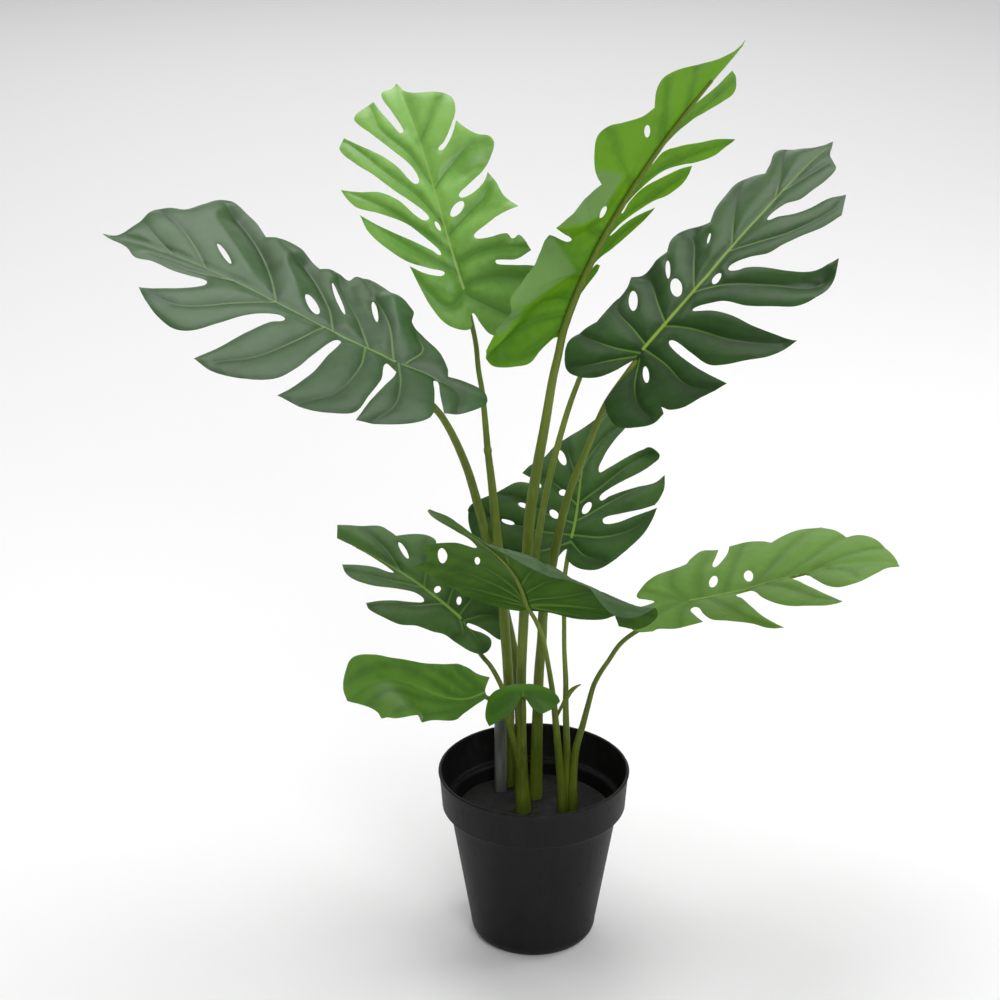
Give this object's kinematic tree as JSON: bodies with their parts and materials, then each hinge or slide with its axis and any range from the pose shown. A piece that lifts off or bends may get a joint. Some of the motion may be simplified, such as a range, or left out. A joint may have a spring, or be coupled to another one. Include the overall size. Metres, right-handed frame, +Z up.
{
  "type": "potted monstera plant",
  "caption": "Potted monstera: split and holed leaves on slender forking stalks rising from a black, collared, tapering nursery pot.",
  "frame": {"origin": "centre of the pot's flat underside", "axes": "+Z up, out of the pot; -Y the side the plant is looked at from; +X to that viewer's right"},
  "size_m": [0.6044, 0.3218, 0.7219],
  "materials": {
    "pot_plastic": "black polypropylene, satin, lightly scuffed",
    "filler": "dark smooth filler, dull with soft patches",
    "tube_grey": "bare grey plastic tube, satin",
    "stalk": "olive green moulded plastic, satin",
    "leaf_dark": "deep green coated cloth with pressed, paler veins and a soft bluish sheen",
    "leaf_light": "fresh yellow-green coated cloth with pressed veins and a soft sheen"
  },
  "bodies": {
    "root": {"pot": "pot_plastic", "filler": "filler", "tube_core": "tube_grey", "stalk_far_left": "stalk", "stalk_back_left": "stalk", "stalk_upper_right": "stalk", "stalk_front": "stalk", "stalk_cluster": "stalk", "leaf_far_left": "leaf_dark", "leaf_upper_right": "leaf_dark", "leaf_rear": "leaf_dark", "leaf_lower_left": "leaf_dark", "leaf_front": "leaf_dark", "leaf_back_left": "leaf_light", "leaf_top": "leaf_light", "leaf_lower_right": "leaf_light", "leaf_small_left": "leaf_light", "leaf_small_front": "leaf_light"}
  },
  "joints": []
}
